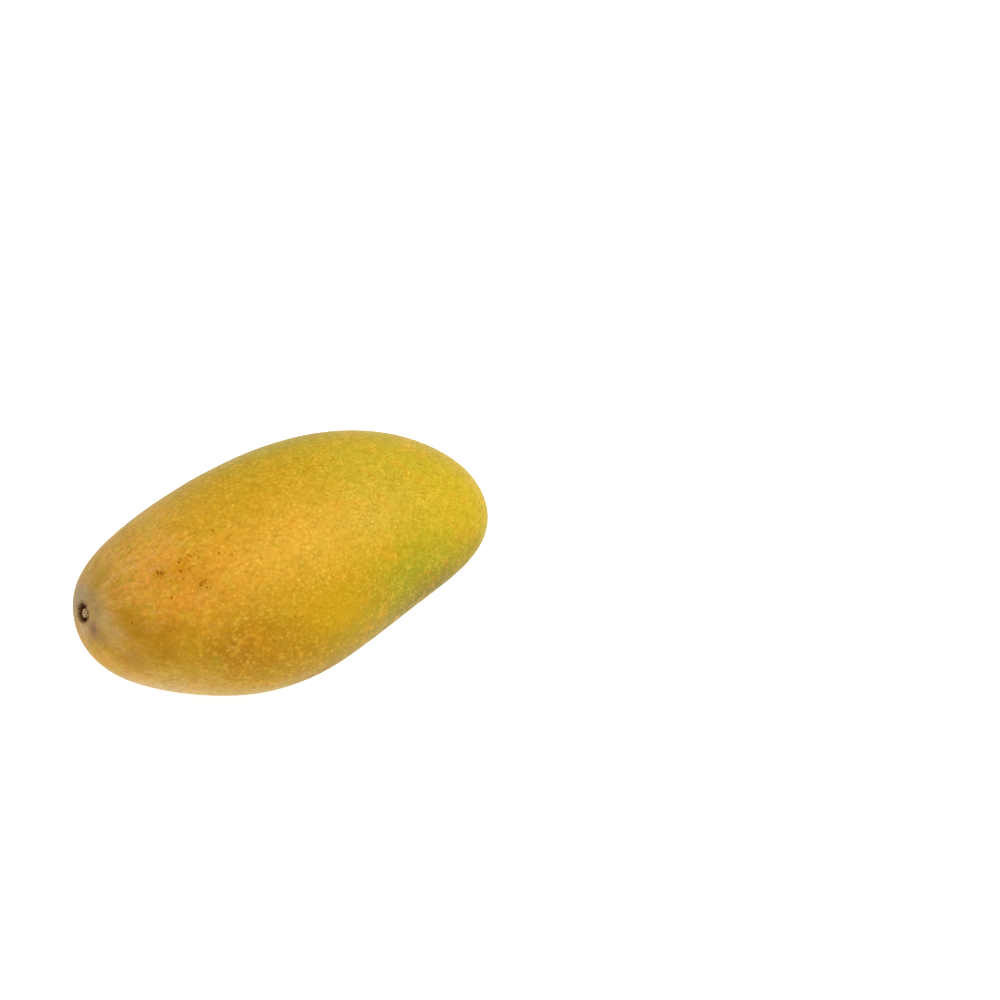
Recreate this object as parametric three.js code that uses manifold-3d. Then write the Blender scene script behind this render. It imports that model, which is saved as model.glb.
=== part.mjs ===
// A slender mango that is turning from green to golden, lying on one cheek.
// Millimetres, +Z up. The stem end points to -X, the nose to +X, the full back to +Y and the
// straighter belly, with its small beak, to -Y. The origin is on the surface that the fruit rests
// on, under the middle of its bounding box.
import * as THREE from 'three';
import { mergeVertices } from 'three/addons/utils/BufferGeometryUtils.js';
import Module from 'manifold-3d';

// Body: each list runs from the stem end to the nose.
const halfLength = 65.5;
const halfBreadths = [41, 37, 36.5, 34, 36.5, 39.5];
const bendsToBack = [2.5, 2, -1, 2.5, 1, -0.5];
const halfThicknesses = [32, 30.5, 30.5, 29, 26.5];
const backFullness = 0.08;

// How the fruit lies, in degrees, and how deep its own weight presses the resting spot flat.
const noseDown = 0.5;
const backUp = 9;
const restFlatDepth = 0.45;

// Stem end: a shallow basin round the scar that the broken stalk left.
const scarTurn = 177;
const scarLift = 13;
const basinRadius = 7;
const basinDepth = 0.9;
const rimRadius = 2.1;
const rimWidth = 0.5;
const rimHeight = 0.35;
const pitRadius = 1.6;
const pitDepth = 0.6;
const plugRadius = 0.7;
const plugHeight = 0.35;

// Net of faces: slices run from the scar to the nose, and rings lie round the scar. The spacing of
// the rings at either end is a share of an even spacing.
const slices = 64;
const rings = 60;
const scarSpacing = 0.2;
const noseSpacing = 0.7;

// Skin colour of the ripening fruit.
const skinColour = 0xd3a52c;
const skinRoughness = 0.45;

const scarDirection = directionOf(scarTurn, scarLift);
const scarUp = new THREE.Vector3(0, 1, 0).cross(scarDirection).normalize();
const scarBack = new THREE.Vector3().crossVectors(scarUp, scarDirection);
const scarCentre = bodyPoint(scarDirection);
const stepUp = shortStep(scarDirection, scarUp);
const stepBack = shortStep(scarDirection, scarBack);
const scarNormal = new THREE.Vector3().crossVectors(stepBack, stepUp).normalize();
const scarNarrowing = 1 - stepUp.length() / stepBack.length();

function directionOf(turn, lift) {
  const turnAngle = THREE.MathUtils.degToRad(turn);
  const liftAngle = THREE.MathUtils.degToRad(lift);
  return new THREE.Vector3(
    Math.cos(turnAngle) * Math.cos(liftAngle),
    Math.sin(turnAngle) * Math.cos(liftAngle),
    Math.sin(liftAngle),
  );
}

// A smooth curve through values at stations from -1 to 1 that crowd towards both ends.
function throughStations(values, place) {
  const last = values.length - 1;
  let sum = 0;
  let weights = 0;
  for (let j = 0; j <= last; j += 1) {
    const gap = place + Math.cos((Math.PI * j) / last);
    if (Math.abs(gap) < 1e-9) {
      return values[j];
    }
    const share = j === 0 || j === last ? 0.5 : 1;
    const weight = (j % 2 === 0 ? share : -share) / gap;
    sum += weight * values[j];
    weights += weight;
  }
  return sum / weights;
}

// The bare body: an ellipsoid whose breadth, bend and thickness change along its length.
function bodyPoint(direction) {
  const place = THREE.MathUtils.clamp(direction.x, -1, 1);
  const breadth = throughStations(halfBreadths, place);
  const bend = throughStations(bendsToBack, place);
  const thickness = throughStations(halfThicknesses, place);
  return new THREE.Vector3(
    halfLength * place,
    bend + breadth * direction.y,
    thickness * direction.z * (1 + backFullness * direction.y),
  );
}

// How the bare body's surface moves when the direction takes a short step sideways.
function shortStep(direction, sideways) {
  const step = 1e-3;
  return bodyPoint(direction.clone().addScaledVector(sideways, step).normalize()).sub(bodyPoint(direction));
}

// A smooth bump of height 1 at its middle, fading to nothing past its width.
function bump(distance, width) {
  return Math.exp(-((distance / width) ** 2));
}

// Height of the stem end's relief at a distance from the middle of the scar.
function stemRelief(distance) {
  const basin = -basinDepth * bump(distance, basinRadius);
  const rim = rimHeight * bump(distance - rimRadius, rimWidth);
  const pit = -pitDepth * THREE.MathUtils.smoothstep(pitRadius + rimWidth - distance, 0, rimWidth);
  const plug = plugHeight * bump(distance, plugRadius);
  return basin + rim + pit + plug;
}

// The direction at a share of the way from the scar to the nose, and at an angle round the scar.
// Rings crowd at both ends, and start out round on the skin although the fruit is broader than thick.
function gridDirection(share, turn) {
  const cubic = 4 - 3 * scarSpacing - noseSpacing;
  const quartic = 1 - scarSpacing - cubic;
  const polar = Math.PI * (scarSpacing * share + cubic * share ** 3 + quartic * share ** 4);
  const narrow = 1 - scarNarrowing * Math.cos(polar / 2) ** 8;
  return scarDirection.clone().multiplyScalar(Math.cos(polar))
    .addScaledVector(scarUp, Math.sin(polar) * Math.cos(turn))
    .addScaledVector(scarBack, Math.sin(polar) * Math.sin(turn) * narrow)
    .normalize();
}

function skinPoint(share, turn) {
  const point = bodyPoint(gridDirection(share, turn));
  const relief = stemRelief(point.distanceTo(scarCentre));
  return point.addScaledVector(scarNormal, relief);
}

// A sphere gives the closed net of faces, and every corner is moved to its place on the skin.
function skinGeometry() {
  const geometry = new THREE.SphereGeometry(1, slices, rings);
  const position = geometry.attributes.position;
  for (let i = 0; i < position.count; i += 1) {
    const onSphere = new THREE.Vector3().fromBufferAttribute(position, i);
    const share = Math.acos(THREE.MathUtils.clamp(onSphere.y, -1, 1)) / Math.PI;
    const turn = Math.atan2(onSphere.z, onSphere.x);
    position.setXYZ(i, ...skinPoint(share, turn));
  }
  return geometry;
}

function toSolid(wasm, geometry) {
  const bare = new THREE.BufferGeometry();
  bare.setAttribute('position', geometry.getAttribute('position'));
  bare.setIndex(geometry.getIndex());
  const merged = mergeVertices(bare, 1e-4);
  return new wasm.Manifold(new wasm.Mesh({
    numProp: 3,
    vertProperties: new Float32Array(merged.attributes.position.array),
    triVerts: new Uint32Array(merged.index.array),
  }));
}

function toGeometry(solid) {
  const mesh = solid.getMesh();
  const geometry = new THREE.BufferGeometry();
  geometry.setAttribute('position', new THREE.BufferAttribute(new Float32Array(mesh.vertProperties), 3));
  geometry.setIndex(new THREE.BufferAttribute(new Uint32Array(mesh.triVerts), 1));
  return geometry;
}

// Lay the fruit down, cut its resting spot flat, and bring the spot to z = 0.
function laidDown(wasm, geometry) {
  geometry.rotateX(THREE.MathUtils.degToRad(backUp));
  geometry.rotateY(THREE.MathUtils.degToRad(noseDown));
  geometry.computeBoundingBox();
  const box = geometry.boundingBox;
  const centre = box.getCenter(new THREE.Vector3());
  geometry.translate(-centre.x, -centre.y, -box.min.z - restFlatDepth);
  const below = new THREE.BoxGeometry(4 * halfLength, 4 * halfLength, halfLength);
  below.translate(0, 0, -halfLength / 2);
  return toGeometry(toSolid(wasm, geometry).subtract(toSolid(wasm, below)));
}

const wasm = await Module();
wasm.setup();

const skin = new THREE.MeshStandardMaterial({ color: skinColour, roughness: skinRoughness, metalness: 0 });
const mango = new THREE.Mesh(laidDown(wasm, skinGeometry()), skin);
mango.name = 'mango';

const group = new THREE.Group();
group.add(mango);

export default group;
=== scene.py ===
import math
import bpy
import bmesh
import numpy as np
from mathutils import Matrix, Vector


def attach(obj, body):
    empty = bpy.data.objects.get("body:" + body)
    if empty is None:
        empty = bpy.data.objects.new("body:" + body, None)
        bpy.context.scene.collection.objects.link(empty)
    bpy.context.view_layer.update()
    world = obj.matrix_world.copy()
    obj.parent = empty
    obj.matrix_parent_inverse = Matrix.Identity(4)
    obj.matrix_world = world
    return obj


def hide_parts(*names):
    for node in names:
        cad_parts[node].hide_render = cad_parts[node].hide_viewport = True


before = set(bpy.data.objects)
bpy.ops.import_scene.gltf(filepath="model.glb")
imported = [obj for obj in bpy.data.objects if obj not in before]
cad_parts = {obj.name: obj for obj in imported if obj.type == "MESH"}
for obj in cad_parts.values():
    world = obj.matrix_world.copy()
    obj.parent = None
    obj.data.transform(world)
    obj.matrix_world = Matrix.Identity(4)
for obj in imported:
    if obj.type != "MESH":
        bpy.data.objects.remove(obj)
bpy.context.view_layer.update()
print("stage: frame loaded")

mm = 0.001


class Wire:
    # a node socket that takes part in plain arithmetic, as numbers or as vectors
    def __init__(self, graph, socket):
        self.graph = graph
        self.socket = socket

    def __add__(self, other):
        return self.graph.maths("ADD", self, other)

    def __radd__(self, other):
        return self.graph.maths("ADD", other, self)

    def __sub__(self, other):
        return self.graph.maths("SUBTRACT", self, other)

    def __rsub__(self, other):
        return self.graph.maths("SUBTRACT", other, self)

    def __mul__(self, other):
        return self.graph.maths("MULTIPLY", self, other)

    def __rmul__(self, other):
        return self.graph.maths("MULTIPLY", other, self)

    def __truediv__(self, other):
        return self.graph.maths("DIVIDE", self, other)

    def __rtruediv__(self, other):
        return self.graph.maths("DIVIDE", other, self)

    def __pow__(self, other):
        return self.graph.maths("POWER", self, other)

    def __neg__(self):
        return self.graph.maths("MULTIPLY", self, -1.0)


class Graph:
    # a node tree, with one way to add any node to it
    def __init__(self, tree):
        self.tree = tree

    def add(self, kind, settings=None, sockets=None, output=0):
        node = self.tree.nodes.new(kind)
        for name, value in (settings or {}).items():
            setattr(node, name, value)
        for key, value in (sockets or {}).items():
            self.plug(node.inputs[key], value)
        return Wire(self, node.outputs[output])

    def plug(self, socket, value):
        if isinstance(value, Wire):
            self.tree.links.new(value.socket, socket)
        else:
            socket.default_value = value

    def maths(self, operation, *values):
        if any(isinstance(value, Wire) and value.socket.type in ("VECTOR", "RGBA") for value in values):
            return self.vectorMaths(operation, *values)
        return self.add("ShaderNodeMath", {"operation": operation}, dict(enumerate(values)))

    def vectorMaths(self, operation, *values):
        vectors = [value if isinstance(value, (Wire, tuple)) else (value,) * 3 for value in values]
        return self.add("ShaderNodeVectorMath", {"operation": operation}, dict(enumerate(vectors)))

    def measure(self, operation, *vectors):
        # the vector operations that give a number
        return self.add("ShaderNodeVectorMath", {"operation": operation}, dict(enumerate(vectors)), "Value")

    def vector(self, x, y, z):
        return self.add("ShaderNodeCombineXYZ", None, {0: x, 1: y, 2: z})

    def parts(self, vector):
        node = self.add("ShaderNodeSeparateXYZ", None, {0: vector}).socket.node
        return [Wire(self, socket) for socket in node.outputs]

    def ease(self, value, low, high, lowValue=0.0, highValue=1.0):
        # a smooth step from lowValue at low to highValue at high
        return self.add("ShaderNodeMapRange", {"interpolation_type": "SMOOTHSTEP"},
                        {"Value": value, "From Min": low, "From Max": high,
                         "To Min": lowValue, "To Max": highValue})

    def bump(self, distance, width):
        # a smooth bump of height 1 that fades to nothing past its width
        return self.maths("EXPONENT", (distance / width) ** 2.0 * -1.0)

    def noise(self, place, scale, detail=2.0, roughness=0.5, output="Fac"):
        return self.add("ShaderNodeTexNoise", None,
                        {"Vector": place, "Scale": scale, "Detail": detail, "Roughness": roughness}, output)


class Recipe(Graph):
    # a Geometry Nodes tree whose named inputs are filled in on the modifier that runs it
    def __init__(self, name):
        super().__init__(bpy.data.node_groups.new(name, "GeometryNodeTree"))
        self.values = {}
        self.tree.interface.new_socket("Geometry", in_out="OUTPUT", socket_type="NodeSocketGeometry")
        self.start = self.tree.nodes.new("NodeGroupInput")
        self.end = self.tree.nodes.new("NodeGroupOutput")

    def input(self, name, value):
        kinds = {int: "NodeSocketInt", float: "NodeSocketFloat", bpy.types.Material: "NodeSocketMaterial",
                 bpy.types.Object: "NodeSocketObject", Vector: "NodeSocketVector"}
        kind = next(kinds[option] for option in kinds if isinstance(value, option))
        socket = self.tree.interface.new_socket(name, in_out="INPUT", socket_type=kind)
        self.values[socket.identifier] = value
        return Wire(self, self.start.outputs[socket.identifier])

    def position(self):
        return self.add("GeometryNodeInputPosition")

    def move(self, geometry, position=None, offset=None):
        sockets = {"Geometry": geometry}
        if position is not None:
            sockets["Position"] = position
        if offset is not None:
            sockets["Offset"] = offset
        return self.add("GeometryNodeSetPosition", None, sockets)

    def store(self, geometry, name, value, kind="FLOAT"):
        return self.add("GeometryNodeStoreNamedAttribute", {"data_type": kind},
                        {"Geometry": geometry, "Name": name, "Value": value})

    def read(self, name, kind="FLOAT"):
        return self.add("GeometryNodeInputNamedAttribute", {"data_type": kind}, {"Name": name}, "Attribute")

    def compare(self, operation, first, second):
        return self.add("FunctionNodeCompare", {"operation": operation}, {0: first, 1: second})

    def join(self, geometries):
        node = self.tree.nodes.new("GeometryNodeJoinGeometry")
        for geometry in reversed(geometries):
            self.tree.links.new(geometry.socket, node.inputs[0])
        return Wire(self, node.outputs[0])

    def random(self, low, high, seed):
        # drawn anew for each point by its number
        index = self.add("GeometryNodeInputIndex")
        return self.add("FunctionNodeRandomValue", {"data_type": "FLOAT"},
                        {2: low, 3: high, "ID": index, "Seed": seed}, 1)

    def randomVector(self, low, high, seed):
        index = self.add("GeometryNodeInputIndex")
        return self.add("FunctionNodeRandomValue", {"data_type": "FLOAT_VECTOR"},
                        {0: (low,) * 3, 1: (high,) * 3, "ID": index, "Seed": seed}, 0)

    def leaveOut(self, points, value, limit):
        # drop the points whose value is under the limit
        tooLow = self.compare("LESS_THAN", value, limit)
        return self.add("GeometryNodeDeleteGeometry", None, {"Geometry": points, "Selection": tooLow})

    def offTheFloor(self, points):
        # drop the points on the flat resting spot
        return self.leaveOut(points, self.parts(self.position())[2], body["clearOfFloor"] * mm)

    def surfaceOf(self, name, piece):
        return self.add("GeometryNodeObjectInfo", None, {"Object": self.input(name, piece)}, "Geometry")

    def ontoSurface(self, points, surface):
        # move points to the nearest place on a surface and note which way it faces there
        target = self.add("GeometryNodeSampleNearestSurface", {"data_type": "FLOAT_VECTOR"},
                          {"Mesh": surface, "Value": self.add("GeometryNodeInputNormal"),
                           "Sample Position": self.position()}, 0)
        points = self.store(points, "outward", target, "FLOAT_VECTOR")
        nearest = self.add("GeometryNodeProximity", {"target_element": "FACES"},
                           {"Target": surface, "Sample Position": self.position()}, "Position")
        return self.move(points, nearest)

    def facingOut(self, sideways):
        # turned so that Z points out of the surface and X as near to sideways as it can
        upright = self.add("FunctionNodeAlignRotationToVector", {"axis": "Z"},
                           {"Vector": self.read("outward", "FLOAT_VECTOR")})
        return self.add("FunctionNodeAlignRotationToVector", {"axis": "X", "pivot_axis": "Z"},
                        {"Rotation": upright, "Vector": sideways})

    def peg(self, sides, topRadius, bottomRadius, depth):
        # a small flat-shaded cone or stub, standing on its wide end
        cone = self.add("GeometryNodeMeshCone", {"fill_type": "NGON"},
                        {"Vertices": sides, "Radius Top": topRadius, "Radius Bottom": bottomRadius,
                         "Depth": depth}, "Mesh")
        return self.shade(cone, False)

    def lowered(self, geometry, depth):
        return self.add("GeometryNodeTransform", None,
                        {"Geometry": geometry, "Translation": self.vector(0.0, 0.0, depth * -1.0)})

    def instances(self, points, shape, rotation, scale):
        return self.add("GeometryNodeInstanceOnPoints", None,
                        {"Points": points, "Instance": shape, "Rotation": rotation, "Scale": scale})

    def shade(self, geometry, smooth):
        return self.add("GeometryNodeSetShadeSmooth", None, {"Geometry": geometry, "Shade Smooth": smooth})

    def finish(self, geometry, material):
        realised = self.add("GeometryNodeRealizeInstances", None, {"Geometry": geometry})
        painted = self.add("GeometryNodeSetMaterial", None, {"Geometry": realised, "Material": material})
        self.tree.links.new(painted.socket, self.end.inputs[0])

    def makePiece(self, name):
        # run the tree on an empty mesh and keep the result as a plain mesh
        carrier = bpy.data.objects.new(name + "Carrier", bpy.data.meshes.new(name + "Carrier"))
        bpy.context.collection.objects.link(carrier)
        modifier = carrier.modifiers.new("recipe", "NODES")
        modifier.node_group = self.tree
        for identifier, value in self.values.items():
            modifier[identifier] = list(value) if isinstance(value, Vector) else value
        evaluated = carrier.evaluated_get(bpy.context.evaluated_depsgraph_get())
        mesh = bpy.data.meshes.new_from_object(evaluated)
        mesh.name = name
        carrier.modifiers.remove(modifier)
        bpy.data.objects.remove(carrier)
        piece = bpy.data.objects.new(name, mesh)
        bpy.context.collection.objects.link(piece)
        print("stage:", name, "made,", len(mesh.polygons), "faces")
        return piece


def scaled(graph, vector, factor):
    return graph.add("ShaderNodeVectorMath", {"operation": "SCALE"}, {0: vector, "Scale": factor})


def curveThrough(values, place):
    # a smooth curve through values at stations from -1 to 1 that crowd towards both ends
    last = len(values) - 1
    stations = [-math.cos(math.pi * number / last) for number in range(last + 1)]
    terms = np.polyfit(stations, values, last)
    result = float(terms[0])
    for term in terms[1:]:
        result = result * place + float(term)
    return result


# body of the fruit: millimetres and degrees, lists run from the stem end to the nose
body = {
    "halfLength": 65.5,
    "halfBreadths": [41, 37, 36.5, 34, 36.5, 39.5],
    "bendsToBack": [2.5, 2, -1, 2.5, 1, -0.5],
    "halfThicknesses": [32, 30.5, 30.5, 29, 26.5],
    "backFullness": 0.08,
    "noseDown": 0.5,
    "backUp": 9,
    "restFlatDepth": 0.45,
    "clearOfFloor": 0.3,
    "scarTurn": 177,
    "scarLift": 13,
    "basinRadius": 7.0,
    "basinDepth": 0.9,
    "rimRadius": 3.0,
    "rimWidth": 0.6,
    "rimHeight": 0.3,
    "grooveRadius": 1.8,
    "grooveWidth": 0.6,
    "grooveDepth": 1.3,
    "coreOffset": (-1.0, -0.85),
    "coreSunk": 0.25,
    "scarWidening": 0.18,
    "scarUnevenness": 0.4,
    # the way to the groove's deep side, and how its depth eases from shallow to full
    "deepSide": (-0.9, -0.42, 0.0),
    "deepEase": (-0.1, 0.45, 0.12, 1.0),
    "creaseDepth": 0.22,
    "creaseReach": 12.0,
    "creaseStart": 2.5,
    "creaseFull": 6.0,
    "lumpHeight": 0.3,
    "lumpLength": 16.0,
    # noises: detail and roughness, with the scale before them in the last two
    "lumpDetail": (2.0, 0.4),
    "unevenNoise": (1.1, 3.0, 0.6),
    "creaseNoise": (1.3, 3.0, 0.55),
    "slices": 220,
    "rings": 240,
    # rings stand closer at both ends, by these shares of an even spacing
    "scarSpacing": 0.2,
    "noseSpacing": 0.7,
    "narrowingFade": 8.0,
}


def directionOf(turn, lift):
    turn = math.radians(turn)
    lift = math.radians(lift)
    return Vector((math.cos(turn) * math.cos(lift), math.sin(turn) * math.cos(lift), math.sin(lift)))


def bareSkinPoint(direction):
    # the same rule as the tree's, for one direction
    place, sideways, upwards = direction
    fullness = 1 + body["backFullness"] * sideways
    return Vector((
        body["halfLength"] * place,
        curveThrough(body["bendsToBack"], place) + curveThrough(body["halfBreadths"], place) * sideways,
        curveThrough(body["halfThicknesses"], place) * upwards * fullness,
    )) * mm


def scarFrame():
    # the scar's place on the bare body, its outward normal, and how much narrower its rings start
    out = directionOf(body["scarTurn"], body["scarLift"])
    up = Vector((0, 1, 0)).cross(out).normalized()
    back = up.cross(out)
    step = 1e-3
    centre = bareSkinPoint(out)
    stepUp = bareSkinPoint((out + up * step).normalized()) - centre
    stepBack = bareSkinPoint((out + back * step).normalized()) - centre
    normal = stepBack.cross(stepUp).normalized()
    return out, up, back, centre, normal, 1 - stepUp.length / stepBack.length


def deepShare(graph, around):
    # full on the side where the scar's groove is deep, little on the other
    return graph.ease(graph.measure("DOT_PRODUCT", around, body["deepSide"]), *body["deepEase"])


def makeBody(material):
    out, up, back, scarCentre, scarNormal, scarNarrowing = scarFrame()
    recipe = Recipe("mangoBody")
    slices = recipe.input("slices", body["slices"] + 1)
    rings = recipe.input("rings", body["rings"] + 1)
    halfLength = recipe.input("half length", body["halfLength"] * mm)
    backFullness = recipe.input("back fullness", body["backFullness"])
    basinRadius = recipe.input("basin radius", body["basinRadius"] * mm)
    basinDepth = recipe.input("basin depth", body["basinDepth"] * mm)
    rimRadius = recipe.input("rim radius", body["rimRadius"] * mm)
    rimWidth = recipe.input("rim width", body["rimWidth"] * mm)
    rimHeight = recipe.input("rim height", body["rimHeight"] * mm)
    grooveRadius = recipe.input("groove radius", body["grooveRadius"] * mm)
    grooveWidth = recipe.input("groove width", body["grooveWidth"] * mm)
    grooveDepth = recipe.input("groove depth", body["grooveDepth"] * mm)
    creaseDepth = recipe.input("crease depth", body["creaseDepth"] * mm)
    lumpHeight = recipe.input("lump height", body["lumpHeight"] * mm)
    lying = recipe.input("lying", Vector((math.radians(body["backUp"]), math.radians(body["noseDown"]), 0)))
    restFlatDepth = recipe.input("rest flat depth", body["restFlatDepth"] * mm)
    paint = recipe.input("material", material)

    # a flat net of faces, one side for the way from scar to nose, the other for the way round
    net = recipe.add("GeometryNodeMeshGrid", None,
                     {"Size X": 1.0, "Size Y": 1.0, "Vertices X": rings, "Vertices Y": slices})
    share, around, _ = recipe.parts(recipe.position() + (0.5, 0.5, 0.0))
    turn = around * (2 * math.pi)
    cubic = 4 - 3 * body["scarSpacing"] - body["noseSpacing"]
    quartic = 1 - body["scarSpacing"] - cubic
    polar = math.pi * (share * body["scarSpacing"] + share ** 3.0 * cubic + share ** 4.0 * quartic)
    narrow = 1.0 - recipe.maths("COSINE", polar / 2.0) ** body["narrowingFade"] * scarNarrowing
    sine = recipe.maths("SINE", polar)
    aroundCosine = recipe.maths("COSINE", turn)
    aroundSine = recipe.maths("SINE", turn)
    direction = (scaled(recipe, tuple(out), recipe.maths("COSINE", polar))
                 + scaled(recipe, tuple(up), sine * aroundCosine)
                 + scaled(recipe, tuple(back), sine * aroundSine * narrow))
    direction = recipe.vectorMaths("NORMALIZE", direction)
    net = recipe.store(net, "scarAround", recipe.vector(aroundCosine, aroundSine, 0.0), "FLOAT_VECTOR")
    place, sideways, upwards = recipe.parts(direction)
    breadth = curveThrough(body["bendsToBack"], place) + curveThrough(body["halfBreadths"], place) * sideways
    thickness = curveThrough(body["halfThicknesses"], place) * mm * upwards * (1.0 + backFullness * sideways)
    net = recipe.move(net, recipe.vector(halfLength * place, breadth * mm, thickness))

    # slow lumps all over the skin
    lumps = recipe.noise(recipe.position(), 1000.0 / body["lumpLength"], *body["lumpDetail"]) - 0.5
    net = recipe.move(net, offset=scaled(recipe, recipe.add("GeometryNodeInputNormal"), lumps * lumpHeight))

    # the stem end: a basin, creases that run out of it, and the scar's rim, groove and core,
    # whose distance from the middle is stretched unevenly so that the scar isn't round
    aroundVector = recipe.read("scarAround", "FLOAT_VECTOR")
    uneven = recipe.noise(aroundVector, *body["unevenNoise"]) - 0.5
    fromScar = recipe.measure("DISTANCE", recipe.position(), tuple(scarCentre))
    sideways = recipe.parts(aroundVector)[1]
    upShift, backShift = body["coreOffset"]
    coreCentre = tuple(scarCentre + (up * upShift + back * backShift) * mm)
    stretch = 1.0 - sideways * sideways * body["scarWidening"] + uneven * body["scarUnevenness"]
    scarReach = recipe.measure("DISTANCE", recipe.position(), coreCentre) * stretch
    net = recipe.store(net, "fromScar", fromScar)
    net = recipe.store(net, "scarReach", scarReach)
    fromScar = recipe.read("fromScar")
    scarReach = recipe.read("scarReach")
    basin = recipe.bump(fromScar, basinRadius) * basinDepth
    rim = recipe.bump(scarReach - rimRadius, rimWidth) * rimHeight * (uneven + 0.9)
    groove = recipe.bump(scarReach - grooveRadius, grooveWidth) * grooveDepth
    groove = groove * deepShare(recipe, aroundVector)
    core = recipe.ease(grooveRadius - scarReach, 0.0, grooveWidth) * (body["coreSunk"] * mm)
    creasePlace = aroundVector * 4.0 + recipe.vector(0.0, 0.0, fromScar * 60.0)
    creases = recipe.noise(creasePlace, *body["creaseNoise"]) - 0.5
    creased = recipe.bump(fromScar, body["creaseReach"] * mm)
    creased = creased * recipe.ease(fromScar, body["creaseStart"] * mm, body["creaseFull"] * mm)
    relief = rim - basin - groove - core + creases * creased * creaseDepth * 2.0
    net = recipe.move(net, offset=scaled(recipe, tuple(scarNormal), relief))

    # lie down, centred on its box, with the resting spot pressed flat at the floor
    net = recipe.add("GeometryNodeTransform", None, {"Geometry": net, "Rotation": lying})
    box = recipe.add("GeometryNodeBoundBox", None, {"Geometry": net}).socket.node
    low = Wire(recipe, box.outputs["Min"])
    high = Wire(recipe, box.outputs["Max"])
    middleX, middleY, _ = recipe.parts((low + high) * 0.5)
    bottom = recipe.parts(low)[2]
    shift = recipe.vector(-middleX, -middleY, -bottom - restFlatDepth)
    net = recipe.add("GeometryNodeTransform", None, {"Geometry": net, "Translation": shift})
    x, y, z = recipe.parts(recipe.position())
    net = recipe.move(net, recipe.vector(x, y, recipe.maths("MAXIMUM", z, 0.0)))
    net = recipe.add("GeometryNodeMergeByDistance", None, {"Geometry": net, "Distance": 1e-6})
    net = recipe.add("GeometryNodeFlipFaces", None, {"Mesh": net})
    recipe.finish(recipe.shade(net, True), paint)
    return recipe.makePiece("mangoSkin")


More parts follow.
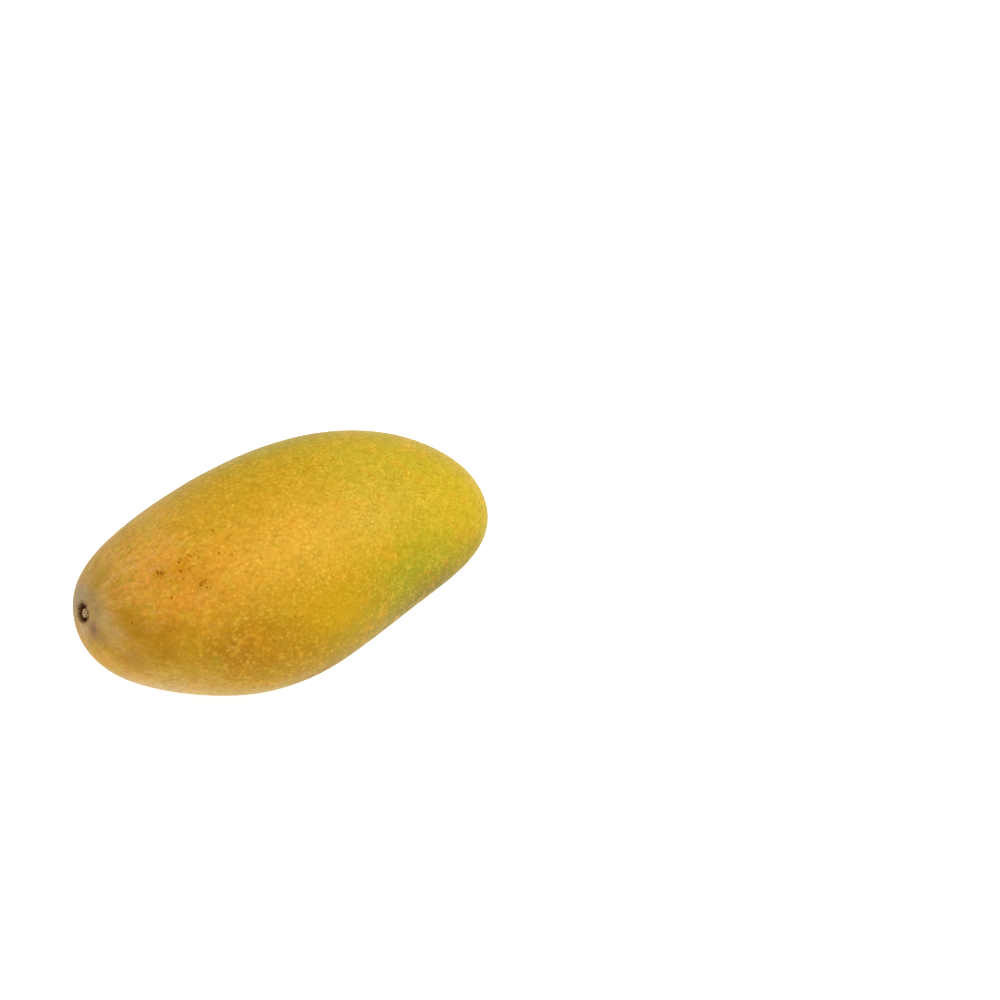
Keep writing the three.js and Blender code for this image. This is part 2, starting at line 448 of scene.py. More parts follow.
# skin: colours as linear red, green and blue, places and reaches in millimetres
skinLook = {
    "golden": (0.485, 0.266, 0.006),
    "patches": {
        # broad soft patches: middle, reach, colour, strength
        "noseHalf": ((62, 0, 30), (42, 70, 60), (0.415, 0.318, 0.003), 1.6),
        "greenBack": ((12, 26, 52), (38, 15, 22), (0.31, 0.262, 0.004), 1.0),
        "oliveTop": ((30, -2, 56), (18, 12, 10), (0.42, 0.32, 0.014), 0.7),
        "noseBack": ((54, 16, 42), (14, 16, 16), (0.39, 0.25, 0.001), 0.8),
        # lighter golden skin, partly a painted soft highlight where the sheen falls
        "goldenMiddleAndPaintedSheen": ((-3, -16, 55), (16, 10, 10), (0.61, 0.31, 0.014), 0.9),
        "warmMiddle": ((-26, -15, 54), (14, 9, 8), (0.64, 0.29, 0.016), 0.75),
        "orangeCheek": ((-47, -3, 51), (15, 12, 9), (0.70, 0.28, 0.026), 0.9),
        "orangeFlank": ((-40, -16, 48), (24, 10, 9), (0.60, 0.225, 0.010), 0.95),
        # golden skin, partly a painted soft highlight with a little added blue
        "goldenRowAndPaintedSheen": ((-8, -20, 53), (21, 8, 8), (0.63, 0.335, 0.024), 0.7),
        "yellowSide": ((42, -16, 43), (10, 9, 9), (0.54, 0.345, 0.012), 0.6),
        "bellyShade": ((-5, -36, 28), (36, 10, 12), (0.35, 0.172, 0.001), 0.9),
        "ochreFlank": ((-33, -31, 36), (17, 8, 9), (0.34, 0.135, 0.001), 0.95),
        "oliveBelly": ((8, -33, 27), (15, 8, 12), (0.31, 0.225, 0.002), 0.85),
        "greenBelly": ((29, -29, 31), (17, 10, 12), (0.28, 0.268, 0.003), 1.0),
        "yellowNose": ((56, -10, 40), (13, 12, 16), (0.46, 0.33, 0.001), 0.8),
        # painted shade: dark olive under the beak, where the underside falls into shadow
        "oliveUnderPaintedShade": ((37, -26, 19), (22, 9, 9), (0.12, 0.10, 0.001), 1.0),
        # painted light: pale cream on the lower stem side and belly, standing in for light bounced up from
        # the floor
        "paintedFloorLightStem": ((-52, -15, 16), (24, 14, 10), (0.56, 0.39, 0.19), 1.0),
        "paintedFloorLightBelly": ((-16, -28, 8), (34, 14, 10), (0.47, 0.375, 0.14), 1.0),
        # painted shade: dark olive along the lower right rim and under the beak, taking back light from the
        # floor there
        "oliveRimPaintedShade": ((5, -32, 14), (20, 9, 9), (0.25, 0.18, 0.01), 0.85),
        "oliveRightPaintedShade": ((27, -28, 13), (16, 8, 9), (0.20, 0.165, 0.01), 0.85),
        "oliveBeakPaintedShade": ((52, -24, 25), (9, 6, 8), (0.24, 0.185, 0.003), 0.75),
        "paleMiddle": ((21, -17, 51), (16, 8, 8), (0.51, 0.35, 0.03), 0.6),
        "waxyBack": ((-38, 15, 53), (17, 10, 10), (0.52, 0.315, 0.06), 0.6),
        "waxyStem": ((-62, 8, 44), (24, 20, 16), (0.49, 0.285, 0.075), 0.65),
    },
    "wander": 9.0,
    "mottledCheek": ((-36, -6, 52), (20, 18, 14)),
    "marks": {
        # the same for small marks, mostly by the scar and the specks
        "ochreUpper": ((-56.5, -9.5, 42.5), (3.5, 4, 4), (0.37, 0.165, 0.002), 0.7),
        "ochreMiddle": ((-54.5, -14, 40), (4, 4.5, 4), (0.34, 0.155, 0.001), 0.75),
        "stemwardStain": ((-43.7, -6.8, 51.4), (2.6, 2.4, 3), (0.46, 0.18, 0.001), 0.85),
        "upperStain": ((-38.5, -9.5, 52.5), (4.5, 3, 3), (0.50, 0.20, 0.001), 0.75),
        "lowerStain": ((-35, -15.5, 50.5), (3, 2.6, 3), (0.46, 0.20, 0.001), 0.75),
        "ochreLower": ((-50, -20.5, 35), (6, 4.5, 4.5), (0.34, 0.16, 0.002), 0.75),
        "ochreLip": ((-58, -15, 32), (5, 5, 5), (0.37, 0.18, 0.03), 0.7),
        "ochreFar": ((-48.5, -18.5, 41), (6, 4, 4), (0.35, 0.15, 0.002), 0.6),
        "ochreNear": ((-56, -2, 46), (3.5, 3, 3), (0.40, 0.19, 0.02), 0.5),
        "oliveStreak": ((-57.5, 6, 46.5), (5, 2.2, 4), (0.38, 0.225, 0.02), 0.8),
        "greyShoulder": ((-62, 9, 40), (4, 4, 4), (0.37, 0.28, 0.15), 0.7),
        "darkShoulder": ((-61.5, 4.5, 42.3), (2.2, 2.5, 2), (0.28, 0.18, 0.07), 0.7),
        "greyEdge": ((-63, 11, 37), (4, 5, 6), (0.38, 0.27, 0.14), 0.9),
        "greyTail": ((-60, -9, 38), (3, 3, 3), (0.42, 0.28, 0.10), 0.6),
        "greyFan": ((-61.5, -3.5, 40), (3.5, 3, 3), (0.46, 0.30, 0.13), 0.7),
        "darkFan": ((-61, 0, 41), (2.5, 2, 2), (0.30, 0.19, 0.08), 0.6),
        "violetMark": ((-63.8, -2.4, 36.2), (2.3, 1.9, 2), (0.19, 0.10, 0.07), 0.9),
        "violetTail": ((-63, -5.8, 35), (3, 3, 1.8), (0.34, 0.195, 0.055), 0.75),
        "pinkLip": ((-65, 2.5, 33), (2, 3, 2.5), (0.58, 0.37, 0.17), 0.8),
        "orangeLip": ((-63, -7, 28.5), (3, 5, 3), (0.60, 0.31, 0.04), 0.7),
        "yellowFlank": ((0, -33, 37), (10, 5, 7), (0.46, 0.265, 0.0), 0.85),
        # painted shade: a darker olive spot on the lower rim
        "oliveEdgePaintedShade": ((-7, -31, 14), (10, 6, 5), (0.24, 0.13, 0.001), 0.7),
    },
    "markWander": 3.5,
    # strength of the fine tooth, of the dashes out from the scar and of the tints near it
    "tooth": 0.2,
    "dashes": 0.75,
    "tint": 0.8,
    "blotches": 0.36,
    "cheekBlotches": 0.1,
    # noises: scale, detail, roughness
    "driftNoise": (0.06, 3.0, 0.55),
    "cloudNoise": (0.17, 5.0, 0.62),
    "blotchNoise": (0.42, 2.0, 0.6),
    "grainNoise": (0.85, 3.0, 0.7),
    "broadNoise": (1.3, 3.0, 0.6),
    "fineNoise": (3.4, 4.0, 0.65),
    "toothNoise": (1.3, 2.0, 0.6),
    "dashNoise": (3.4, 2.0, 0.6),
    "wispNoise": (0.5, 3.0, 0.6),
    "tintNoise": (0.7, 3.0, 0.6),
    "markNoise": (0.5, 3.0, 0.6),
    "barkNoise": (2.6, 3.0, 0.7),
    "pittingNoise": (3.0, 2.0, 0.5),
    # reach from the scar of the streaks, of the grey bloom and of the violet bloom
    "streakReach": 33.0,
    "bloomReach": 7.5,
    "violetReach": 5.0,
    "streakOlive": (0.34, 0.20, 0.006),
    "streakPale": (0.62, 0.39, 0.14),
    "bloomGrey": (0.44, 0.29, 0.12),
    "bloomViolet": (0.33, 0.22, 0.13),
    "scarStain": (0.22, 0.115, 0.035),
    "stainEdge": (4.7, 3.1),
    "stainStrength": 0.85,
    "grooveDark": (0.05, 0.011, 0.001),
    "grooveDarkWidth": 0.85,
    "coreWood": (0.46, 0.31, 0.13),
    "coreEdge": (1.55, 1.1),
    "cloudGreen": (0.38, 0.28, 0.01),
    "cloudOrange": (0.62, 0.27, 0.008),
    "blotchDark": (0.40, 0.19, 0.003),
    "blotchPale": (0.62, 0.37, 0.025),
    "grainDark": (0.30, 0.15, 0.002),
    "grainPale": (0.74, 0.47, 0.06),
    "roughness": 0.46,
    "bloomRoughness": 0.62,
    "specularLevel": 0.07,
}


def mix(graph, factor, first, second):
    # a colour from first to second; colours are wires or three numbers
    sides = [side if isinstance(side, Wire) else (*side, 1) for side in (first, second)]
    return graph.add("ShaderNodeMix", {"data_type": "RGBA"}, {0: factor, 6: sides[0], 7: sides[1]}, 2)


def softPatch(graph, place, middle, reach):
    # 1 in the middle of an egg-shaped space, fading to nothing past its reach
    offset = (place - tuple(middle)) / tuple(reach)
    return graph.maths("EXPONENT", graph.measure("DOT_PRODUCT", offset, offset) * -1.0)


def paintPatches(graph, place, colour, patches):
    for middle, reach, patchColour, strength in patches.values():
        colour = mix(graph, softPatch(graph, place, middle, reach) * strength, colour, patchColour)
    return colour


def skinColours(graph):
    # gives the skin's colour, roughness and height, all worked out from where on the fruit it is
    look = skinLook
    place = graph.add("ShaderNodeTexCoord", output="Object") * 1000.0
    fromScar = graph.add("ShaderNodeAttribute", {"attribute_name": "fromScar"}, output="Fac") * 1000.0
    scarReach = graph.add("ShaderNodeAttribute", {"attribute_name": "scarReach"}, output="Fac") * 1000.0
    around = graph.add("ShaderNodeAttribute", {"attribute_name": "scarAround"}, output="Vector")
    drift = graph.noise(place, *look["driftNoise"], "Color") - 0.5
    wandered = place + drift * look["wander"]

    colour = paintPatches(graph, wandered, look["golden"], look["patches"])

    # soft clouds of green and orange, then fine mottling
    cheek = softPatch(graph, place, *look["mottledCheek"])
    clouds = graph.noise(place, *look["cloudNoise"])
    colour = mix(graph, graph.ease(clouds, 0.5, 0.72, 0.0, 0.45), colour, look["cloudGreen"])
    colour = mix(graph, graph.ease(clouds, 0.5, 0.3, 0.0, 0.4), colour, look["cloudOrange"])
    blotches = graph.noise(place, *look["blotchNoise"])
    blotchy = cheek * look["cheekBlotches"] + look["blotches"]
    colour = mix(graph, graph.ease(blotches, 0.5, 0.7) * blotchy, colour, look["blotchDark"])
    colour = mix(graph, graph.ease(blotches, 0.5, 0.3) * blotchy, colour, look["blotchPale"])
    grain = graph.noise(place, *look["grainNoise"])
    colour = mix(graph, graph.ease(grain, 0.48, 0.74, 0.0, 0.4), colour, look["grainDark"])
    colour = mix(graph, graph.ease(grain, 0.48, 0.26, 0.0, 0.4), colour, look["grainPale"])

    # streaks that run out from the scar, broad ones and hair-fine ones
    streakPlace = around * 4.0 + graph.vector(0.0, 0.0, fromScar * 0.07)
    nearStem = graph.bump(fromScar, look["streakReach"])
    broad = graph.noise(streakPlace, *look["broadNoise"])
    fine = graph.noise(streakPlace, *look["fineNoise"])
    streaks = broad * 0.6 + fine * 0.4
    colour = mix(graph, nearStem * graph.ease(streaks, 0.5, 0.64, 0.0, 0.85), colour, look["streakOlive"])
    colour = mix(graph, nearStem * graph.ease(streaks, 0.5, 0.34, 0.0, 0.6), colour, look["streakPale"])

    # a fine tooth all over, and short dashes that run out from the scar
    tooth = graph.noise(place, *look["toothNoise"]) - 0.5
    dashPlace = around * 9.0 + graph.vector(0.0, 0.0, fromScar * 0.3)
    dashes = graph.noise(dashPlace, *look["dashNoise"]) - 0.5
    colour = scaled(graph, colour, tooth * look["tooth"] + dashes * nearStem * look["dashes"] + 1.0)

    # the dull bloom round the scar, grey and then violet, and the small marks
    bloom = graph.bump(fromScar, look["bloomReach"])
    wisps = graph.noise(streakPlace + (7.0, 3.0, 1.0), *look["wispNoise"])
    colour = mix(graph, bloom * graph.ease(wisps, 0.3, 0.65, 0.4, 0.8), colour, look["bloomGrey"])
    violet = graph.bump(fromScar, look["violetReach"]) * graph.ease(wisps, 0.4, 0.6, 0.2, 0.6)
    colour = mix(graph, violet, colour, look["bloomViolet"])
    colour = scaled(graph, colour, (dashes + tooth) * bloom * look["dashes"] + 1.0)
    tint = graph.noise(place, *look["tintNoise"], "Color") - 0.5
    colour = colour * (scaled(graph, tint, nearStem * look["tint"]) + (1.0, 1.0, 1.0))
    smallDrift = graph.noise(place, *look["markNoise"], "Color") - 0.5
    colour = paintPatches(graph, place + smallDrift * look["markWander"], colour, look["marks"])

    # the scar: brown about its rim, nearly black in the groove, and a pale woody core
    bark = graph.noise(place, *look["barkNoise"])
    stain = graph.ease(scarReach + bark * 2.4, *look["stainEdge"])
    colour = mix(graph, stain * look["stainStrength"], colour, look["scarStain"])
    colour = mix(graph, graph.ease(scarReach, *look["coreEdge"]), colour, look["coreWood"])
    inGroove = graph.bump(scarReach - body["grooveRadius"], look["grooveDarkWidth"])
    colour = mix(graph, inGroove * deepShare(graph, around), colour, look["grooveDark"])

    roughness = graph.ease(grain, 0.3, 0.7, look["roughness"] - 0.05, look["roughness"] + 0.06)
    roughness = roughness + bloom * (look["bloomRoughness"] - look["roughness"]) + stain * 0.3
    height = grain * 0.02 + graph.noise(place, *look["pittingNoise"]) * 0.008 - nearStem * fine * 0.05
    return colour, roughness, height


def finishShader(material, graph, colour, roughness, height=None):
    shader = material.node_tree.nodes["Principled BSDF"]
    graph.plug(shader.inputs["Base Color"], colour)
    graph.plug(shader.inputs["Roughness"], roughness)
    shader.inputs["Specular IOR Level"].default_value = skinLook["specularLevel"]
    if height is not None:
        bump = graph.add("ShaderNodeBump", None, {"Strength": 1.0, "Distance": mm, "Height": height})
        graph.plug(shader.inputs["Normal"], bump)


def startMaterial(name):
    material = bpy.data.materials.new(name)
    material.use_nodes = True
    return material, Graph(material.node_tree)


def makeSkinMaterial():
    material, graph = startMaterial("mangoSkin")
    finishShader(material, graph, *skinColours(graph))
    return material


def scarOnSkin(piece):
    # the scar on the lying fruit: its middle, the way out of it, its two sides and its core
    distances = piece.data.attributes["fromScar"].data
    nearest = min(range(len(distances)), key=lambda number: distances[number].value)
    place = piece.data.vertices[nearest].co.copy()
    noseTurn = Matrix.Rotation(math.radians(body["noseDown"]), 3, "Y")
    lying = noseTurn @ Matrix.Rotation(math.radians(body["backUp"]), 3, "X")
    _, up, back, _, normal, _ = scarFrame()
    upSide = lying @ up
    backSide = lying @ back
    upShift, backShift = body["coreOffset"]
    core = place + (upSide * upShift + backSide * backShift) * mm
    return place, lying @ normal, (upSide, backSide), core


skin = makeBody(makeSkinMaterial())
scarPlace, scarOut, scarSides, corePlace = scarOnSkin(skin)
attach(skin, "root")
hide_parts("mango")

# pores: pale dots all over the skin, large ones and fainter small ones between, in millimetres
pores = {
    # name: spacing, radius, height, faintest and strongest tone, seed
    "sizes": {
        "large": (1.7, 0.8, 0.034, 0.35, 1.0, 11),
        "small": (1.9, 0.55, 0.03, 0.25, 0.9, 23),
    },
    "crowdingStart": -30,
    "crowdingEnd": 45,
    "noseCrowding": 0.5,
    "densest": 2e6,
    "sunk": 0.014,
    "sides": 6,
    "stemTone": 0.3,
    "stemStretch": 0.8,
    "stemShrink": 0.5,
    "stretchReach": 32.0,
    "clearOfScar": 4.2,
    "sizeSpread": (0.65, 1.2),
    "lengthSpread": (0.9, 1.4),
    "paleGain": 1.2,
    "paleAdded": (0.045, 0.045, 0.022),
    "noseTone": 0.85,
    # some areas are fainter: length of the drift in millimetres, and the faintest share
    "drift": 7.0,
    "faintest": 0.45,
    # above zero the pores shrink towards the nose, below zero they grow
    "noseShrink": -0.1,
    "ringShade": (0.92, 0.9, 0.8),
}


def makePoreMaterial():
    # the skin's own colour at the edge of each pore, then a darker ring and a pale middle
    material, graph = startMaterial("poreWax")
    colour, roughness, _ = skinColours(graph)
    fade = graph.add("ShaderNodeAttribute", {"attribute_name": "poreFade"}, output="Fac")
    tone = graph.add("ShaderNodeAttribute", {"attribute_name": "poreTone"}, output="Fac")
    pale = colour * pores["paleGain"] + pores["paleAdded"]
    colour = mix(graph, graph.ease(fade, 0.05, 0.3) * tone, colour, colour * pores["ringShade"])
    colour = mix(graph, graph.ease(fade, 0.2, 0.85) * tone, colour, pale)
    finishShader(material, graph, colour, roughness)
    return material


def makePoreLayer(recipe, surface, spacing, radius, height, faintest, strongest, seed):
    # pores are dealt out on a skin swollen towards the nose, then moved back, so they crowd there
    sunk = recipe.input("sunk", pores["sunk"] * mm)
    points = recipe.add("GeometryNodeDistributePointsOnFaces", {"distribute_method": "POISSON"},
                        {"Mesh": surface, "Distance Min": recipe.input("spacing", spacing * mm),
                         "Density Max": pores["densest"], "Seed": recipe.input("seed", seed)})
    points = recipe.offTheFloor(recipe.move(points, recipe.read("home", "FLOAT_VECTOR")))
    fromScar = recipe.read("fromScar")
    points = recipe.leaveOut(points, fromScar, pores["clearOfScar"] * mm)
    tone = recipe.random(faintest, strongest, seed + 1)
    tone = tone * recipe.ease(fromScar, 5 * mm, pores["stretchReach"] * mm, pores["stemTone"], 1.0)
    crowding = recipe.read("crowding")
    drift = recipe.noise(recipe.position(), 1000.0 / pores["drift"], 2.0, 0.5)
    tone = tone * recipe.ease(drift, 0.35, 0.65, pores["faintest"], 1.1)
    tone = tone * recipe.ease(crowding, 1.0, 1.0 + pores["noseCrowding"], 1.0, pores["noseTone"])
    points = recipe.store(points, "poreTone", tone)

    # each one is a low dome that is longer towards the stem end, where it points at the scar
    dome = recipe.peg(pores["sides"], 0.0, recipe.input("radius", radius * mm),
                      recipe.input("height", height * mm))
    middle = recipe.compare("GREATER_THAN", recipe.parts(recipe.position())[2], height * mm * 0.5)
    dome = recipe.lowered(recipe.store(dome, "poreFade", middle), sunk)
    facing = recipe.facingOut(recipe.position() - tuple(scarPlace))
    nearStem = recipe.bump(fromScar, pores["stretchReach"] * mm)
    size = recipe.random(*pores["sizeSpread"], seed + 2) / crowding ** pores["noseShrink"]
    size = size * (1.0 - nearStem * pores["stemShrink"])
    longer = nearStem * pores["stemStretch"] + recipe.random(*pores["lengthSpread"], seed + 3)
    length = size * longer
    return recipe.instances(points, dome, facing, recipe.vector(length, size, length * length))


def makePores(material):
    recipe = Recipe("skinPores")
    surface = recipe.surfaceOf("skin", skin)
    noseCrowding = recipe.input("nose crowding", pores["noseCrowding"])
    surface = recipe.store(surface, "home", recipe.position(), "FLOAT_VECTOR")
    surface = recipe.store(surface, "outward", recipe.add("GeometryNodeInputNormal"), "FLOAT_VECTOR")
    along = recipe.parts(recipe.position())[0]
    crowding = recipe.ease(along, pores["crowdingStart"] * mm, pores["crowdingEnd"] * mm)
    surface = recipe.store(surface, "crowding", crowding * noseCrowding + 1.0)
    surface = recipe.move(surface, scaled(recipe, recipe.position(), recipe.read("crowding")))
    layers = [makePoreLayer(recipe, surface, *size) for size in pores["sizes"].values()]
    recipe.finish(recipe.join(layers), recipe.input("material", material))
    return recipe.makePiece("skinPores")


poreDomes = makePores(makePoreMaterial())
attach(poreDomes, "root")

# specks: brown corky spots, in clusters on the cheek and scattered over the rest, in millimetres
specks = {
    # name: middle, number, spread, seed
    "clusters": {
        "stemward": ((-43.7, -6.8, 51.4), 11, 1.6, 1),
        "upper": ((-36.9, -8.9, 53.2), 13, 2.6, 2),
        "lower": ((-34.6, -16.2, 50.5), 13, 2.0, 3),
        "between": ((-40.5, -11, 51.5), 8, 4.0, 4),
        "cheek": ((-28, -10, 55), 6, 5.0, 5),
        "shoulder": ((-46.6, 5.5, 52), 2, 0.6, 6),
        "flank": ((-14, -33, 41), 3, 1.5, 7),
        "stemFlank": ((-55.2, -11.4, 41.7), 1, 0.2, 8),
        "noseTip": ((58, -17, 20), 9, 0.7, 9),
    },
    "smallest": 0.26,
    "largest": 0.66,
    "scatteredPerSquare": 0.006,
    "scatteredSize": 0.5,
    "height": 0.05,
    "sunk": 0.03,
    "sides": 7,
    "topShare": 0.6,
    "narrowest": 0.5,
    "mostlySmall": 1.3,
    "seed": 40,
    "brown": (0.48, 0.21, 0.001),
    "dark": (0.25, 0.085, 0.001),
}


def makeSpeckMaterial():
    material, graph = startMaterial("speckCork")
    place = graph.add("ShaderNodeTexCoord", output="Object") * 1000.0
    tone = graph.add("ShaderNodeAttribute", {"attribute_name": "speckTone"}, output="Fac")
    crust = graph.noise(place, 4.0, 3.0, 0.7)
    colour = mix(graph, tone, specks["brown"], specks["dark"])
    colour = mix(graph, graph.ease(crust, 0.4, 0.7, 0.0, 0.35), colour, specks["dark"])
    finishShader(material, graph, colour, graph.ease(crust, 0.3, 0.7, 0.55, 0.8), crust * 0.03)
    return material


def makeSpecks(material):
    recipe = Recipe("skinSpecks")
    surface = recipe.surfaceOf("skin", skin)
    smallest = recipe.input("smallest radius", specks["smallest"] * mm)
    largest = recipe.input("largest radius", specks["largest"] * mm)
    height = recipe.input("height", specks["height"] * mm)
    groups = []
    for middle, number, spread, seed in specks["clusters"].values():
        offset = recipe.randomVector(-spread * mm, spread * mm, seed)
        centre = tuple(value * mm for value in middle)
        group = recipe.add("GeometryNodePoints", None, {"Count": number, "Position": offset + centre})
        groups.append(group)
    points = recipe.store(recipe.ontoSurface(recipe.join(groups), surface), "size", 1.0)
    scattered = recipe.add("GeometryNodeDistributePointsOnFaces", {"distribute_method": "RANDOM"},
                           {"Mesh": surface, "Density": specks["scatteredPerSquare"] / mm ** 2,
                            "Seed": recipe.input("seed", specks["seed"])})
    scattered = recipe.offTheFloor(recipe.ontoSurface(scattered, surface))
    scattered = recipe.store(scattered, "size", recipe.input("scattered size", specks["scatteredSize"]))
    points = recipe.join([points, scattered])
    points = recipe.store(points, "speckTone", recipe.random(0.0, 1.0, 41))
    disc = recipe.peg(specks["sides"], specks["topShare"], 1.0, height + specks["sunk"] * mm)
    disc = recipe.lowered(disc, specks["sunk"] * mm)
    smallness = recipe.random(0.0, 1.0, 42) ** specks["mostlySmall"]
    radius = (smallness * (largest - smallest) + smallest) * recipe.read("size")
    flatness = recipe.random(specks["narrowest"], 1.0, 43)
    facing = recipe.facingOut(recipe.randomVector(-1.0, 1.0, 44))
    discs = recipe.instances(points, disc, facing, recipe.vector(radius, radius * flatness, 1.0))
    recipe.finish(discs, recipe.input("material", material))
    return recipe.makePiece("skinSpecks")


speckDiscs = makeSpecks(makeSpeckMaterial())
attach(speckDiscs, "root")

# stalk scar: torn wood in the core and flakes of bark about the groove, in millimetres
stalkScar = {
    "fibres": 120,
    "coreRadius": 1.4,
    "coreStretch": 1.25,
    "fibreRadius": 0.15,
    "fibreLength": 0.8,
    "fibreRise": 0.2,
    "fibreLean": 0.35,
    "fibreTop": 0.6,
    "fibreBreadths": (0.7, 1.5),
    "fibreHeights": (0.55, 1.2),
    "sides": 5,
    "flakes": 110,
    "flakeRing": (1.7, 3.4),
    "ringStretch": 1.2,
    "flakeSize": (0.1, 0.36),
    "flakeTop": 0.5,
    "flakeThickness": 0.12,
    "flakeSunk": 0.04,
    "flakeLength": 1.5,
    "mostlySmall": 1.5,
    # low tones are dark bark, high ones pale crust
    "flakeTones": (-0.45, 0.5),
    "pale": (0.92, 0.72, 0.45),
    "tan": (0.22, 0.11, 0.03),
    "bark": (0.07, 0.022, 0.004),
    "crust": (0.42, 0.27, 0.11),
}


def makeScarMaterial(name, first, second):
    material, graph = startMaterial(name)
    place = graph.add("ShaderNodeTexCoord", output="Object") * 1000.0
    tone = graph.add("ShaderNodeAttribute", {"attribute_name": "tone"}, output="Fac")
    grain = graph.noise(place, 5.0, 3.0, 0.7)
    colour = mix(graph, graph.ease(tone + grain - 0.5, 0.15, 0.85), first, second)
    finishShader(material, graph, colour, graph.ease(grain, 0.3, 0.7, 0.8, 0.95), grain * 0.04)
    return material


def pointsByCore(recipe, surface, name, count, angle, reach, stretch):
    # points on the skin about the core, each at an angle and a reach of its own
    up, across = (tuple(side) for side in scarSides)
    place = (scaled(recipe, up, recipe.maths("COSINE", angle) * reach)
             + scaled(recipe, across, recipe.maths("SINE", angle) * reach * stretch) + tuple(corePlace))
    points = recipe.add("GeometryNodePoints", None, {"Count": recipe.input(name, count), "Position": place})
    return recipe.ontoSurface(points, surface)


def makeStalkWood(material):
    # short fibres packed in the core, torn off at uneven heights
    recipe = Recipe("stalkWood")
    surface = recipe.surfaceOf("skin", skin)
    coreRadius = recipe.input("core radius", stalkScar["coreRadius"] * mm)
    angle = recipe.random(0.0, 2 * math.pi, 51)
    reach = recipe.random(0.0, 1.0, 52) ** 0.5 * coreRadius
    points = pointsByCore(recipe, surface, "fibres", stalkScar["fibres"], angle, reach,
                          stalkScar["coreStretch"])
    points = recipe.store(points, "tone", recipe.random(0.0, 1.0, 53))
    length = recipe.input("fibre length", stalkScar["fibreLength"] * mm)
    radius = stalkScar["fibreRadius"] * mm
    fibre = recipe.peg(stalkScar["sides"], radius * stalkScar["fibreTop"], radius, length)
    fibre = recipe.lowered(fibre, length - recipe.input("fibre rise", stalkScar["fibreRise"] * mm))
    lean = recipe.randomVector(-stalkScar["fibreLean"], stalkScar["fibreLean"], 54)
    upright = recipe.add("FunctionNodeAlignRotationToVector", {"axis": "Z"},
                         {"Vector": lean + tuple(scarOut)})
    breadth = recipe.random(*stalkScar["fibreBreadths"], 55)
    tallness = recipe.random(*stalkScar["fibreHeights"], 56)
    fibres = recipe.instances(points, fibre, upright, recipe.vector(breadth, 1.0, tallness))
    recipe.finish(fibres, recipe.input("material", material))
    return recipe.makePiece("stalkWood")


def makeStalkBark(material):
    # flakes of bark about the groove, darkest on its deep side
    recipe = Recipe("stalkBark")
    surface = recipe.surfaceOf("skin", skin)
    angle = recipe.random(0.0, 2 * math.pi, 61)
    nearest, farthest = stalkScar["flakeRing"]
    reach = recipe.random(nearest * mm, farthest * mm, 62)
    points = pointsByCore(recipe, surface, "flakes", stalkScar["flakes"], angle, reach,
                          stalkScar["ringStretch"])
    cosine, sine, _ = body["deepSide"]
    facingDeep = recipe.maths("COSINE", angle) * cosine + recipe.maths("SINE", angle) * sine
    tone = recipe.random(*stalkScar["flakeTones"], 63) + recipe.ease(facingDeep, 0.4, -0.3, 0.0, 0.5)
    points = recipe.store(points, "tone", tone)
    smallest, largest = stalkScar["flakeSize"]
    thickness = recipe.input("flake thickness", stalkScar["flakeThickness"] * mm)
    flake = recipe.peg(stalkScar["sides"], stalkScar["flakeTop"], 1.0, thickness)
    flake = recipe.lowered(flake, stalkScar["flakeSunk"] * mm)
    smallness = recipe.random(0.0, 1.0, 64) ** stalkScar["mostlySmall"]
    radius = smallness * ((largest - smallest) * mm) + smallest * mm
    facing = recipe.facingOut(recipe.randomVector(-1.0, 1.0, 65))
    flakes = recipe.instances(points, flake, facing,
                              recipe.vector(radius * stalkScar["flakeLength"], radius, 1.0))
    recipe.finish(flakes, recipe.input("material", material))
    return recipe.makePiece("stalkBark")


stalkWood = makeStalkWood(makeScarMaterial("tornWood", stalkScar["pale"], stalkScar["tan"]))
stalkBark = makeStalkBark(makeScarMaterial("dryBark", stalkScar["bark"], stalkScar["crust"]))
for piece in (stalkWood, stalkBark):
    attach(piece, "root")

# camera: metres and degrees; the middle of the fruit shows at middlePixel of a 1000 pixel square
cameraView = {
    "azimuth": -32.2,
    "elevation": 40,
    "lens": 100,
    "sensor": 36,
    "distance": 0.8194,
    "clipStart": 0.05,
    "clipEnd": 20,
    "frameSide": 1000,
    "middlePixel": (281.9, 561.2),
    "middle": (-0.00104, 0.00152, 0.02998),
}


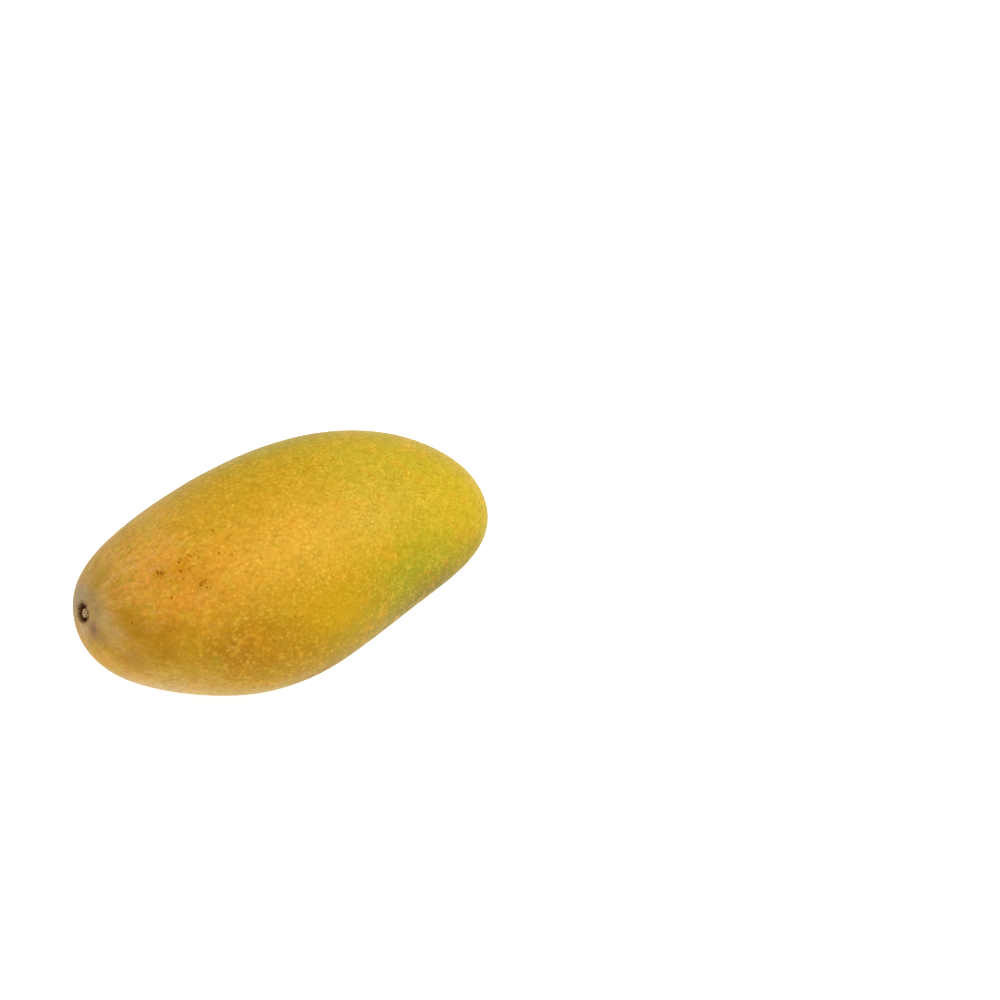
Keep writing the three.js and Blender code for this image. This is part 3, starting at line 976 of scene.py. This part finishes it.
def makeCamera():
    turn = math.radians(cameraView["azimuth"])
    lift = math.radians(cameraView["elevation"])
    right = Vector((math.cos(turn), math.sin(turn), 0))
    back = Vector((math.sin(turn) * math.cos(lift), -math.cos(turn) * math.cos(lift), math.sin(lift)))
    up = back.cross(right)
    pixel = cameraView["distance"] * cameraView["sensor"] / cameraView["lens"] / cameraView["frameSide"]
    half = cameraView["frameSide"] / 2
    column, row = cameraView["middlePixel"]
    place = Vector(cameraView["middle"]) + back * cameraView["distance"]
    place -= right * (column - half) * pixel
    place += up * (row - half) * pixel
    data = bpy.data.cameras.new("camera")
    data.lens = cameraView["lens"]
    data.sensor_width = cameraView["sensor"]
    data.clip_start = cameraView["clipStart"]
    data.clip_end = cameraView["clipEnd"]
    camera = bpy.data.objects.new("camera", data)
    camera.matrix_world = Matrix.Translation(place) @ Matrix((right, up, back)).transposed().to_4x4()
    bpy.context.collection.objects.link(camera)
    bpy.context.scene.camera = camera
    print("stage: camera placed")


makeCamera()

# floor and light: metres and watts
studio = {
    "floorSide": 6.0,
    "floorDrop": 0.00005,
    "floorColour": (0.5, 0.5, 0.5, 1),
    "floorRoughness": 0.9,
    "floorGlow": 0.88,
    "worldStrength": 0.65,
    "keyPlace": (0.6, -0.4, 1.4),
    "keySide": 1.7,
    "keyPower": 24.0,
}


def makeFloor():
    mesh = bpy.data.meshes.new("floor")
    net = bmesh.new()
    bmesh.ops.create_grid(net, x_segments=1, y_segments=1, size=studio["floorSide"] / 2)
    net.to_mesh(mesh)
    net.free()
    mesh.transform(Matrix.Translation((0, 0, -studio["floorDrop"])))
    floor = bpy.data.objects.new("floor", mesh)
    bpy.context.collection.objects.link(floor)
    material = bpy.data.materials.new("paleFloor")
    material.use_nodes = True
    shader = material.node_tree.nodes["Principled BSDF"]
    shader.inputs["Base Color"].default_value = studio["floorColour"]
    shader.inputs["Roughness"].default_value = studio["floorRoughness"]
    shader.inputs["Emission Color"].default_value = (1, 1, 1, 1)
    shader.inputs["Emission Strength"].default_value = studio["floorGlow"]
    mesh.materials.append(material)


def makeLights():
    world = bpy.data.worlds.new("studio")
    world.use_nodes = True
    background = world.node_tree.nodes["Background"]
    background.inputs["Color"].default_value = (1, 1, 1, 1)
    background.inputs["Strength"].default_value = studio["worldStrength"]
    bpy.context.scene.world = world
    data = bpy.data.lights.new("keyLight", "AREA")
    data.shape = "SQUARE"
    data.size = studio["keySide"]
    data.energy = studio["keyPower"]
    light = bpy.data.objects.new("keyLight", data)
    place = Vector(studio["keyPlace"])
    light.matrix_world = Matrix.Translation(place) @ place.to_track_quat("Z", "Y").to_matrix().to_4x4()
    bpy.context.collection.objects.link(light)
    bpy.context.scene.view_settings.view_transform = "Standard"


makeFloor()
makeLights()
print("stage: floor and light placed")
